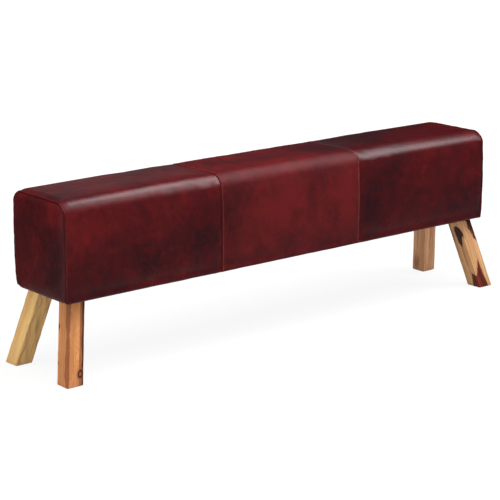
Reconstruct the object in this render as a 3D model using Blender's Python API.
"""Pommel horse bench: a long leather-covered padded box on four splayed wooden legs.

Blender 4.5 script, metres, +Z up.  The origin is on the floor under the middle of the bench.
+X runs along the bench to its right end, -Y is the front, +Y the rear.

The upholstered body is a plywood box with foam pads and a cover of three wrap-round leather
panels and two piped end panels, turned under the bottom board.  Each leg carries a hanger bolt
that screws up into a tee nut in a hardwood block.
"""

from collections import namedtuple
from math import cos, pi, sin, sqrt

import bmesh
import bpy
from mathutils import Vector

# ---------------------------------------------------------------- driving dimensions (metres)
BODY_LENGTH = 1.558        # between the two ends of the body
BODY_HALF_WIDTH = 0.1243   # leather, at the top and bottom of the sides
SIDE_BULGE = 0.0035        # the padded sides stand this much prouder half way up
SEAT_TOP = 0.500           # floor to the top of the seat
BODY_BOTTOM = 0.2224       # floor to the underside of the leather
TOP_CORNER_R = 0.038       # rounding of the two long top edges
BOTTOM_CORNER_R = 0.008    # rounding of the two long bottom edges

GAP = 0.0003               # air between neighbouring pieces
LEATHER = 0.0018           # hide thickness
HEM_EDGE_X = 0.746         # the turned-under hem reaches in to here
HEM_EDGE_Y = 0.090
END_FACE_INSET = 0.0003    # end leather and piping, in from the nominal end of the body
END_FLAT_Y = 0.106         # half width of the straight bottom edge of an end panel
PIPING_R = 0.0024

FRAME_HALF_WIDTH = 0.106
FRAME_HALF_LENGTH = 0.7565
BOTTOM_PLY = 0.012
DECK_PLY = 0.012
SIDE_PLY = 0.009
END_PLY = 0.012
RIB_PLY = 0.012
TOP_FOAM = 0.0394

LEG_TOP_XY = (0.729, 0.0716)     # centre of a leg where it meets the body
LEG_FOOT_XY = (0.780, 0.1280)    # centre of a leg at the floor
LEG_SIZE = 0.0500                # square section, taken across the length of a leg
LEG_CORNER_R = 0.0020
GLIDE_T = 0.0020
GLIDE_INSET = 0.0025             # glide edge, in from the leg's section
GLIDE_CORNER = 0.003

BOLT_R = 0.0040                  # M8
BOLT_UP = 0.0400                 # machine-thread end, above the leg
BOLT_DOWN = 0.0400               # wood-thread end, inside the leg
BOLT_CLEARANCE = 0.0005          # round the bolt, in the leg and in the washer
WASHER_R, WASHER_T = 0.0080, 0.0016
TEE_FLANGE_R, TEE_FLANGE_T = 0.0095, 0.0015
TEE_BARREL_R, TEE_BARREL_L, TEE_BORE_R = 0.0050, 0.0120, 0.0044
TEE_CLEARANCE = 0.0004           # round the barrel
BLOCK_SIZE, BLOCK_T = 0.0600, 0.0240

# ---------------------------------------------------------------- derived levels and places
END_FACE_X = BODY_LENGTH / 2 - END_FACE_INSET
SEAM_X = BODY_LENGTH / 6         # the two cross seams divide the body in thirds
HEM_TOP = BODY_BOTTOM + LEATHER
FOAM_INSET = LEATHER + GAP
BOARD_Z0 = HEM_TOP + GAP
BOARD_Z1 = BOARD_Z0 + BOTTOM_PLY
DECK_Z1 = SEAT_TOP - LEATHER - GAP - TOP_FOAM - GAP
DECK_Z0 = DECK_Z1 - DECK_PLY
WALL_Z0 = BOARD_Z1 + GAP
WALL_Z1 = DECK_Z0 - GAP
SIDE_INNER_Y = FRAME_HALF_WIDTH - SIDE_PLY
END_INNER_X = FRAME_HALF_LENGTH - END_PLY
BLOCK_Z0 = WALL_Z0
BLOCK_Z1 = BLOCK_Z0 + BLOCK_T
TEE_Z0 = BLOCK_Z1 + GAP
LEG_TOP = BODY_BOTTOM - GAP
LEG_FOOT = GLIDE_T + GAP

SPLAY_X = (LEG_FOOT_XY[0] - LEG_TOP_XY[0]) / LEG_TOP     # run per metre of height
SPLAY_Y = (LEG_FOOT_XY[1] - LEG_TOP_XY[1]) / LEG_TOP
# A square bar cut level is longer along its rake; this is by how much, and which way.
RAKE = sqrt(SPLAY_X ** 2 + SPLAY_Y ** 2)
STRETCH = sqrt(1 + RAKE ** 2) - 1
RAKE_X, RAKE_Y = SPLAY_X / RAKE, SPLAY_Y / RAKE
# The bolt stands upright and is centred on the leg half way down its wood-thread end.
BOLT_X = LEG_TOP_XY[0] + SPLAY_X * BOLT_DOWN / 2
BOLT_Y = LEG_TOP_XY[1] + SPLAY_Y * BOLT_DOWN / 2

# corner: (side along X, side along Y)
CORNERS = {
    "front_left": (-1, -1),
    "front_right": (1, -1),
    "rear_left": (-1, 1),
    "rear_right": (1, 1),
}
LEFT_RIGHT = (("left", -1), ("right", 1))
FRONT_REAR = (("front", -1), ("rear", 1))
BOLT_SPOTS = [(side_x * BOLT_X, side_y * BOLT_Y) for side_x, side_y in CORNERS.values()]

# ---------------------------------------------------------------- start from an empty scene
for old in list(bpy.data.objects):
    bpy.data.objects.remove(old)
SCENE = bpy.context.scene.collection

# ---------------------------------------------------------------- materials
# key: (material name, base colour, roughness, metallic)
MATERIALS = {
    "leather": ("oxblood_leather", (0.085, 0.012, 0.012), 0.38, 0.0),
    "piping": ("oxblood_piping_leather", (0.075, 0.010, 0.011), 0.40, 0.0),
    "foam": ("upholstery_foam", (0.86, 0.80, 0.62), 0.95, 0.0),
    "dust": ("black_lining_cloth", (0.025, 0.025, 0.027), 0.95, 0.0),
    "ply": ("poplar_plywood", (0.66, 0.50, 0.33), 0.75, 0.0),
    "softwood": ("pine_batten", (0.74, 0.56, 0.35), 0.70, 0.0),
    "hardwood": ("leg_block_hardwood", (0.52, 0.34, 0.20), 0.65, 0.0),
    "leg": ("rosewood_leg", (0.52, 0.32, 0.15), 0.48, 0.0),
    "zinc": ("zinc_plated_steel", (0.62, 0.62, 0.60), 0.32, 1.0),
    "screw": ("yellow_passivated_steel", (0.66, 0.56, 0.33), 0.36, 1.0),
    "felt": ("grey_felt", (0.30, 0.27, 0.23), 1.0, 0.0),
}


def make_material(name, colour, roughness, metallic):
    material = bpy.data.materials.new(name)
    material.use_nodes = True
    shader = material.node_tree.nodes["Principled BSDF"]
    shader.inputs["Base Color"].default_value = (*colour, 1.0)
    shader.inputs["Roughness"].default_value = roughness
    shader.inputs["Metallic"].default_value = metallic
    material.diffuse_color = (*colour, 1.0)
    return material


MATERIAL = {key: make_material(*row) for key, row in MATERIALS.items()}


# ---------------------------------------------------------------- objects and modifiers
def add(name, shape, material=None, parent=None, location=(0, 0, 0), smooth_angle=None):
    """Turns a bmesh into a named object with outward faces."""
    bmesh.ops.recalc_face_normals(shape, faces=shape.faces[:])
    mesh = bpy.data.meshes.new(name)
    shape.to_mesh(mesh)
    shape.free()
    if smooth_angle is not None:
        mesh.shade_smooth()
        mesh.set_sharp_from_angle(angle=smooth_angle)
    if material is not None:
        mesh.materials.append(MATERIAL[material])
    obj = bpy.data.objects.new(name, mesh)
    SCENE.objects.link(obj)
    obj.parent = parent
    obj.location = location
    return obj


def add_helper(name, shape, parent=None):
    """A solid that only serves a boolean modifier."""
    obj = add(name, shape, parent=parent)
    obj.hide_render = True
    obj.display_type = "WIRE"
    return obj


def boolean(obj, helper, name="cut", operation="DIFFERENCE"):
    modifier = obj.modifiers.new(name, "BOOLEAN")
    modifier.operation = operation
    modifier.solver = "EXACT"
    modifier.object = helper


def board(name, corner_a, corner_b, material="ply", edge=0.0008):
    """A board with its arrises just broken."""
    obj = add(name, box(corner_a, corner_b), material)
    modifier = obj.modifiers.new("edge", "BEVEL")
    modifier.width = edge
    modifier.segments = 1
    modifier.limit_method = "ANGLE"
    return obj


# ---------------------------------------------------------------- basic shapes
def box(corner_a, corner_b):
    """A box between any two opposite corners."""
    spans = [sorted(pair) for pair in zip(corner_a, corner_b)]
    shape = bmesh.new()
    bmesh.ops.create_cube(shape, size=1.0)
    for vert in shape.verts:
        vert.co = Vector([spans[k][0] if vert.co[k] < 0 else spans[k][1] for k in range(3)])
    return shape


def lathe(shape, profile, segments=16, origin=(0, 0, 0), axis="Z", sign=1):
    """Turns an outline of (radius, height) points about an axis through origin.

    A point of radius 0 is an end on the axis; an outline that starts and ends off the axis
    is closed into a ring."""
    origin = Vector(origin)

    def place(radius, angle, height):
        u, v, w = radius * cos(angle), radius * sin(angle), height * sign
        return origin + Vector({"X": (w, u, v), "Y": (u, w, v), "Z": (u, v, w)}[axis])

    rings = []
    for radius, height in profile:
        steps = 1 if radius == 0 else segments
        rings.append([shape.verts.new(place(radius, 2 * pi * k / segments, height))
                      for k in range(steps)])
    pairs = list(zip(rings, rings[1:]))
    if profile[0][0] > 0 and profile[-1][0] > 0:
        pairs.append((rings[-1], rings[0]))
    for near, far in pairs:
        for k in range(segments):
            n = (k + 1) % segments
            if len(near) == 1:
                shape.faces.new((near[0], far[k], far[n]))
            elif len(far) == 1:
                shape.faces.new((near[k], near[n], far[0]))
            else:
                shape.faces.new((near[k], near[n], far[n], far[k]))
    return shape


def bridge(shape, near, far):
    """Faces all round between two rings of equal length."""
    count = len(near)
    for k in range(count):
        n = (k + 1) % count
        shape.faces.new((near[k], near[n], far[n], far[k]))


def prism_x(outline, x0, x1):
    """A closed outline of (y, z) points drawn out along X."""
    shape = bmesh.new()
    near, far = [[shape.verts.new((x, y, z)) for y, z in outline] for x in (x0, x1)]
    bridge(shape, near, far)
    shape.faces.new(near)
    shape.faces.new(far)
    return shape


def upright_holes(name, spots, radius, z0, z1):
    """Upright round cutters at a list of (x, y)."""
    shape = bmesh.new()
    for x, y in spots:
        lathe(shape, [(0, z0), (radius, z0), (radius, z1), (0, z1)], origin=(x, y, 0))
    return add_helper(name, shape)


# ---------------------------------------------------------------- cross-section of the cover
def half_profile(inset, arc_steps=8, side_steps=8):
    """Rear (+Y) half of the cross-section as (y, z) points, from the start of the bottom corner
    to the end of the top corner, set in by inset from the leather's outer face."""
    bottom_r, top_r = BOTTOM_CORNER_R - inset, TOP_CORNER_R - inset
    bottom_y, bottom_z = BODY_HALF_WIDTH - BOTTOM_CORNER_R, BODY_BOTTOM + BOTTOM_CORNER_R
    top_y, top_z = BODY_HALF_WIDTH - TOP_CORNER_R, SEAT_TOP - TOP_CORNER_R
    points = []
    for k in range(arc_steps + 1):
        angle = -pi / 2 + (pi / 2) * k / arc_steps
        points.append((bottom_y + bottom_r * cos(angle), bottom_z + bottom_r * sin(angle)))
    for k in range(1, side_steps):
        t = k / side_steps
        points.append((BODY_HALF_WIDTH - inset + SIDE_BULGE * sin(pi * t),
                       bottom_z + t * (top_z - bottom_z)))
    for k in range(arc_steps + 1):
        angle = (pi / 2) * k / arc_steps
        points.append((top_y + top_r * cos(angle), top_z + top_r * sin(angle)))
    return points


def mirrored(half):
    """A path up the front, over the top and down the rear, from its rear half."""
    return [(-y, z) for y, z in half] + [(y, z) for y, z in reversed(half)]


# ---------------------------------------------------------------- leather cover
SEAM_GAP = 0.0004
WRAP_END = END_FACE_X - 2 * PIPING_R - GAP
PIPING_INSET = 0.0020         # piping centre, in from the outer surface of the wrap
PIPING_SEGMENTS = 6
END_PANEL_INSET = 0.0050      # end panel's edge, in from the outer surface of the wrap
END_HEM_INSET_X = 0.0004      # end hem, in from the panel's outer face
END_HEM_INSET_Y = 0.002       # end hem's sides, in from the long hems
END_HEM_LIFT = 0.00002        # keeps the hem's underside off the panel's bottom edge


def wrap_panel(name, x0, x1):
    """Leather sheet round the sides and top, hemmed under along both long edges."""
    shape = bmesh.new()

    def path(x, inset):
        z_hem = BODY_BOTTOM + inset
        points = [(-HEM_EDGE_Y, z_hem)] + mirrored(half_profile(inset)) + [(HEM_EDGE_Y, z_hem)]
        return [shape.verts.new((x, y, z)) for y, z in points]

    outer0, inner0 = path(x0, 0.0), path(x0, LEATHER)
    outer1, inner1 = path(x1, 0.0), path(x1, LEATHER)
    for k in range(len(outer0) - 1):
        for near, far in ((outer0, outer1), (inner0, inner1), (outer0, inner0), (outer1, inner1)):
            shape.faces.new((near[k], near[k + 1], far[k + 1], far[k]))
    for k in (0, -1):
        shape.faces.new((outer0[k], outer1[k], inner1[k], inner0[k]))
    add(name, shape, "leather", smooth_angle=0.6)


def end_panel(name, side):
    """The flat end, inside the piping, with a hem turned under the bottom board."""
    path = mirrored(half_profile(END_PANEL_INSET, arc_steps=6, side_steps=4))
    outline = [(-END_FLAT_Y, BODY_BOTTOM)] + path + [(END_FLAT_Y, BODY_BOTTOM)]
    panel = add(name, prism_x(outline, side * (END_FACE_X - LEATHER), side * END_FACE_X),
                "leather", smooth_angle=0.6)
    hem_y = HEM_EDGE_Y - END_HEM_INSET_Y
    hem = box((side * HEM_EDGE_X, -hem_y, BODY_BOTTOM + END_HEM_LIFT),
              (side * (END_FACE_X - END_HEM_INSET_X), hem_y, HEM_TOP))
    boolean(panel, add_helper(name + "_hem", hem), name="hem", operation="UNION")


def piping(name, side):
    """A round leather-covered cord in the end seam, open along the bottom."""
    path = [Vector((side * (END_FACE_X - PIPING_R), y, z))
            for y, z in mirrored(half_profile(PIPING_INSET, arc_steps=6, side_steps=4))]
    shape = bmesh.new()
    rings = []
    across = Vector((1, 0, 0))
    for k, centre in enumerate(path):
        before, after = path[max(k - 1, 0)], path[min(k + 1, len(path) - 1)]
        outward = (after - before).normalized().cross(across).normalized()
        ring = []
        for step in range(PIPING_SEGMENTS):
            angle = 2 * pi * step / PIPING_SEGMENTS
            offset = PIPING_R * (cos(angle) * across + sin(angle) * outward)
            ring.append(shape.verts.new(centre + offset))
        rings.append(ring)
    for near, far in zip(rings, rings[1:]):
        bridge(shape, near, far)
    shape.faces.new(rings[0])
    shape.faces.new(rings[-1])
    add(name, shape, "piping", smooth_angle=0.9)


wrap_panel("leather_wrap_left", -WRAP_END, -SEAM_X - SEAM_GAP / 2)
wrap_panel("leather_wrap_centre", -SEAM_X + SEAM_GAP / 2, SEAM_X - SEAM_GAP / 2)
wrap_panel("leather_wrap_right", SEAM_X + SEAM_GAP / 2, WRAP_END)
for label, side in LEFT_RIGHT:
    end_panel("leather_end_" + label, side)
    piping("piping_" + label, side)

# ---------------------------------------------------------------- foam
PAD_MARGIN = 0.001            # profile points nearer than this to a pad's level edge are left out
SIDE_PAD_START = 0.006        # the side pad keeps profile points this far outside the frame
END_PAD_INSET = 0.0054        # end pad's edge, in from the outer surface of the wrap
END_PAD_START = 0.004         # the end pad keeps profile points this far above its bottom


def foam_top():
    """Full-width pad on the deck, with the long top edges rounded to fit the cover."""
    low = DECK_Z1 + GAP
    half = [point for point in half_profile(FOAM_INSET) if point[1] > low + PAD_MARGIN]
    outline = mirrored([(half[0][0], low)] + half)
    add("foam_top", prism_x(outline, -FRAME_HALF_LENGTH, FRAME_HALF_LENGTH),
        "foam", smooth_angle=0.6)


def foam_side(name, side):
    """Thin pad on a long side, under the overhang of the top pad."""
    inner_y = FRAME_HALF_WIDTH + GAP
    points = half_profile(FOAM_INSET, arc_steps=6)
    last = max(k for k, point in enumerate(points) if point[1] < DECK_Z1 - PAD_MARGIN)
    # the pad's top outer edge is where the profile crosses the deck level
    (y_below, z_below), (y_above, z_above) = points[last], points[last + 1]
    y_top = y_below + (y_above - y_below) * (DECK_Z1 - z_below) / (z_above - z_below)
    outline = [(inner_y, BODY_BOTTOM + FOAM_INSET)]
    outline += [point for point in points[:last + 1]
                if point[0] > FRAME_HALF_WIDTH + SIDE_PAD_START]
    outline += [(y_top, DECK_Z1), (inner_y, DECK_Z1)]
    shape = prism_x([(side * y, z) for y, z in outline], -FRAME_HALF_LENGTH, FRAME_HALF_LENGTH)
    add(name, shape, "foam", smooth_angle=0.6)


def foam_end(name, side):
    """Pad on an end board, following the body's outline."""
    low = BODY_BOTTOM + FOAM_INSET
    path = mirrored(half_profile(END_PAD_INSET, arc_steps=6, side_steps=6))
    outline = [(-END_FLAT_Y, low)]
    outline += [point for point in path if point[1] > low + END_PAD_START]
    outline += [(END_FLAT_Y, low)]
    shape = prism_x(outline, side * (FRAME_HALF_LENGTH + GAP), side * (END_FACE_X - LEATHER - GAP))
    add(name, shape, "foam", smooth_angle=0.6)


foam_top()
for label, side in FRONT_REAR:
    foam_side("foam_" + label, side)
for label, side in LEFT_RIGHT:
    foam_end("foam_end_" + label, side)

# ---------------------------------------------------------------- level boards, lining and ribs
HOLE_OVERRUN = 0.01           # cutters reach this far past the wood
DUST_T = 0.0007
DUST_INSET_X, DUST_INSET_Y = 0.001, 0.003     # lining, in from the hem edges
DUST_HOLE_CLEARANCE = 0.0005                  # round the washer
DUST_HOLE_RISE = 0.005                        # cutter, above the underside of the board


def bottom_board():
    obj = board("frame_bottom_board", (-FRAME_HALF_LENGTH, -FRAME_HALF_WIDTH, BOARD_Z0),
                (FRAME_HALF_LENGTH, FRAME_HALF_WIDTH, BOARD_Z1))
    boolean(obj, upright_holes("cutter_bottom", BOLT_SPOTS, TEE_BARREL_R + TEE_CLEARANCE,
                               BOARD_Z0 - HOLE_OVERRUN, BOARD_Z1 + HOLE_OVERRUN))


def top_deck():
    board("frame_top_deck", (-FRAME_HALF_LENGTH, -FRAME_HALF_WIDTH, DECK_Z0),
          (FRAME_HALF_LENGTH, FRAME_HALF_WIDTH, DECK_Z1))


def dust_cover():
    """Cloth under the bottom board, between the hems, with a hole round each washer."""
    half_x, half_y = HEM_EDGE_X - DUST_INSET_X, HEM_EDGE_Y - DUST_INSET_Y
    top = BOARD_Z0 - GAP
    obj = add("dust_cover", box((-half_x, -half_y, top - DUST_T), (half_x, half_y, top)), "dust")
    boolean(obj, upright_holes("cutter_dust", BOLT_SPOTS, WASHER_R + DUST_HOLE_CLEARANCE,
                               BODY_BOTTOM - HOLE_OVERRUN, BOARD_Z0 + DUST_HOLE_RISE))


def rib(name, side):
    """Upright board across the box under a cross seam."""
    x, half_y = side * SEAM_X, SIDE_INNER_Y - GAP
    board(name, (x - RIB_PLY / 2, -half_y, WALL_Z0), (x + RIB_PLY / 2, half_y, WALL_Z1))


bottom_board()
top_deck()
dust_cover()
for label, side in LEFT_RIGHT:
    rib("frame_rib_" + label, side)

# ---------------------------------------------------------------- walls, posts and their screws
# Two screws hold each corner of the walls to its post, one from each side.
SCREW_R, SCREW_L = 0.0020, 0.0280
SCREW_HEAD_R, SCREW_HEAD_T = 0.0040, 0.0026
SCREW_SHANK_R = SCREW_R * 0.8      # plain part under the head
SCREW_CLEARANCE = 0.0005
SIDE_SCREW_Z = 0.330
END_SCREW_Z = 0.380
POST_SIZE = 0.028
POST_X = END_INNER_X - GAP - POST_SIZE / 2
POST_Y = SIDE_INNER_Y - GAP - POST_SIZE / 2
POST_Z0 = TEE_Z0 + TEE_FLANGE_T + 0.0035      # clear of the tee nut's flange

# Outlines run along the screw: height 0 at the outer face of the wall, negative into the wood.
SCREW_OUTLINE = [
    (0, -0.0012), (0.0019, -0.0003), (SCREW_HEAD_R, -0.0003),        # dished head
    (SCREW_SHANK_R, -SCREW_HEAD_T), (SCREW_SHANK_R, -0.0120),
    (SCREW_R, -0.0135), (SCREW_R * 0.9, -SCREW_L + 0.005), (0, -SCREW_L),
]
HOLE_R, HOLE_HEAD_R = SCREW_R + SCREW_CLEARANCE, SCREW_HEAD_R + SCREW_CLEARANCE
SCREW_HOLE_OUTLINE = [
    (0, 0.004), (HOLE_HEAD_R, 0.004), (HOLE_HEAD_R, 0.0),
    (HOLE_R, -SCREW_HEAD_T), (HOLE_R, -SCREW_L + 0.003), (0, -SCREW_L - 0.001),
]

Screw = namedtuple("Screw", "x y z axis side")     # side: which way along the axis it faces
SCREWS = []
for side_x, side_y in CORNERS.values():
    SCREWS += [
        Screw(side_x * POST_X, side_y * FRAME_HALF_WIDTH, SIDE_SCREW_Z, "Y", side_y),
        Screw(side_x * FRAME_HALF_LENGTH, side_y * POST_Y, END_SCREW_Z, "X", side_x),
    ]


def frame_screw(name, screw):
    shape = lathe(bmesh.new(), SCREW_OUTLINE, segments=8, axis=screw.axis, sign=screw.side)
    add(name, shape, "screw", location=(screw.x, screw.y, screw.z), smooth_angle=0.5)


def cut_screw_holes(obj, cutter_name, screws):
    shape = bmesh.new()
    for screw in screws:
        lathe(shape, SCREW_HOLE_OUTLINE, segments=8, origin=(screw.x, screw.y, screw.z),
              axis=screw.axis, sign=screw.side)
    boolean(obj, add_helper(cutter_name, shape))


def wall(name, corner_a, corner_b, axis, side):
    """A wall of the box, bored for the screws that enter it along axis."""
    screws = [screw for screw in SCREWS if screw.axis == axis and screw.side == side]
    cut_screw_holes(board(name, corner_a, corner_b), "cutter_" + name, screws)


def corner_post(corner, side_x, side_y):
    x, y, half = side_x * POST_X, side_y * POST_Y, POST_SIZE / 2
    post = board("corner_post_" + corner, (x - half, y - half, POST_Z0),
                 (x + half, y + half, WALL_Z1), "softwood")
    screws = [screw for screw in SCREWS if screw.x * side_x > 0 and screw.y * side_y > 0]
    cut_screw_holes(post, "cutter_post_" + corner, screws)


for number, screw in enumerate(SCREWS, 1):
    frame_screw("frame_screw_%02d" % number, screw)
for label, side in FRONT_REAR:
    wall("frame_%s_panel" % label, (-FRAME_HALF_LENGTH, side * SIDE_INNER_Y, WALL_Z0),
         (FRAME_HALF_LENGTH, side * FRAME_HALF_WIDTH, WALL_Z1), "Y", side)
for label, side in LEFT_RIGHT:
    wall("frame_end_" + label, (side * END_INNER_X, -SIDE_INNER_Y + GAP, WALL_Z0),
         (side * FRAME_HALF_LENGTH, SIDE_INNER_Y - GAP, WALL_Z1), "X", side)
for corner, (side_x, side_y) in CORNERS.items():
    corner_post(corner, side_x, side_y)


# ---------------------------------------------------------------- leg fixings
def leg_block(corner, side_x, side_y, bolt_spot):
    """Hardwood block in the corner of the box, on the bottom board."""
    x_out, y_out = END_INNER_X - GAP, SIDE_INNER_Y - GAP
    block = board("leg_block_" + corner, (side_x * x_out, side_y * y_out, BLOCK_Z0),
                  (side_x * (x_out - BLOCK_SIZE), side_y * (y_out - BLOCK_SIZE), BLOCK_Z1),
                  "hardwood", edge=0.0012)
    boolean(block, upright_holes("cutter_block_" + corner, [bolt_spot],
                                 TEE_BARREL_R + TEE_CLEARANCE,
                                 BLOCK_Z0 - HOLE_OVERRUN, BLOCK_Z1 + HOLE_OVERRUN))


def tee_nut(corner, bolt_spot):
    """Flange on top of the block, barrel down in it."""
    profile = [
        (TEE_BORE_R, -TEE_BARREL_L), (TEE_BARREL_R, -TEE_BARREL_L), (TEE_BARREL_R, 0.0),
        (TEE_FLANGE_R, 0.0), (TEE_FLANGE_R, TEE_FLANGE_T), (TEE_BORE_R, TEE_FLANGE_T),
    ]
    add("tee_nut_" + corner, lathe(bmesh.new(), profile), "zinc",
        location=(*bolt_spot, TEE_Z0), smooth_angle=0.6)


def washer(corner, bolt_spot):
    """Round the bolt, just above the top of the leg."""
    bore = BOLT_R + BOLT_CLEARANCE
    profile = [(bore, 0), (WASHER_R, 0), (WASHER_R, WASHER_T), (bore, WASHER_T)]
    add("washer_" + corner, lathe(bmesh.new(), profile), "zinc",
        location=(*bolt_spot, LEG_TOP + GAP), smooth_angle=0.6)


def hanger_bolt(corner, axis):
    """Machine thread up, narrower plain collar, wood thread with a point down."""
    collar_r = BOLT_R * 0.88
    profile = [
        (0, BOLT_UP), (BOLT_R * 0.75, BOLT_UP), (BOLT_R, BOLT_UP - 0.0012), (BOLT_R, 0.0035),
        (collar_r, 0.0025), (collar_r, -0.0030),
        (BOLT_R, -0.0045), (BOLT_R, -BOLT_DOWN + 0.010), (BOLT_R * 0.45, -BOLT_DOWN + 0.001),
        (0, -BOLT_DOWN),
    ]
    add("hanger_bolt_" + corner, lathe(bmesh.new(), profile, segments=12), "zinc",
        parent=axis, smooth_angle=0.5)


# ---------------------------------------------------------------- legs
def leg_centre(side_x, side_y, level):
    """Centre of a leg at a height above the floor, measured from its bolt."""
    drop = LEG_TOP - level
    return (side_x * (LEG_TOP_XY[0] + SPLAY_X * drop - BOLT_X),
            side_y * (LEG_TOP_XY[1] + SPLAY_Y * drop - BOLT_Y))


def leg_ring(shape, side_x, side_y, level):
    """Level section through a leg, with each arris rounded in two steps."""
    x, y = leg_centre(side_x, side_y, level)
    straight = LEG_SIZE / 2 - LEG_CORNER_R
    ring = []
    for quarter, (sign_x, sign_y) in enumerate(((1, 1), (-1, 1), (-1, -1), (1, -1))):
        for k in range(3):
            angle = (pi / 2) * (quarter + k / 2)
            across_x = sign_x * straight + LEG_CORNER_R * cos(angle)
            across_y = sign_y * straight + LEG_CORNER_R * sin(angle)
            along = (across_x * side_x * RAKE_X + across_y * side_y * RAKE_Y) * STRETCH
            ring.append(shape.verts.new((x + across_x + along * side_x * RAKE_X,
                                         y + across_y + along * side_y * RAKE_Y,
                                         level - LEG_TOP)))
    return ring


def leg(corner, side_x, side_y, axis):
    """A square bar raked both ways, cut level top and bottom and bored for its bolt."""
    shape = bmesh.new()
    foot, top = [leg_ring(shape, side_x, side_y, level) for level in (LEG_FOOT, LEG_TOP)]
    bridge(shape, foot, top)
    shape.faces.new(foot)
    shape.faces.new(top)
    obj = add("leg_" + corner, shape, "leg", parent=axis, smooth_angle=0.6)
    bore_r = BOLT_R + BOLT_CLEARANCE
    bore = [(0, -BOLT_DOWN - 0.001), (bore_r, -BOLT_DOWN + 0.003),
            (bore_r, HOLE_OVERRUN), (0, HOLE_OVERRUN)]
    boolean(obj, add_helper("cutter_leg_" + corner, lathe(bmesh.new(), bore), parent=axis))


def glide(corner, side_x, side_y, axis):
    """Felt pad under the foot, with rounded upright edges."""
    x, y = leg_centre(side_x, side_y, GLIDE_T)
    half = LEG_SIZE / 2 - GLIDE_INSET
    shape = box((x - half, y - half, -LEG_TOP), (x + half, y + half, GLIDE_T - LEG_TOP))
    upright = [edge for edge in shape.edges
               if abs(edge.verts[0].co.z - edge.verts[1].co.z) > 1e-5]
    bmesh.ops.bevel(shape, geom=upright, offset=GLIDE_CORNER, segments=2, profile=0.5,
                    affect="EDGES")
    add("glide_" + corner, shape, "felt", parent=axis)


for (corner, (side_x, side_y)), bolt_spot in zip(CORNERS.items(), BOLT_SPOTS):
    leg_block(corner, side_x, side_y, bolt_spot)
    tee_nut(corner, bolt_spot)
    washer(corner, bolt_spot)

    # the bolt, leg and glide hang on this empty, on the bolt's axis
    axis = bpy.data.objects.new("leg_axis_" + corner, None)
    SCENE.objects.link(axis)
    axis.location = (*bolt_spot, LEG_TOP)
    hanger_bolt(corner, axis)
    leg(corner, side_x, side_y, axis)
    glide(corner, side_x, side_y, axis)
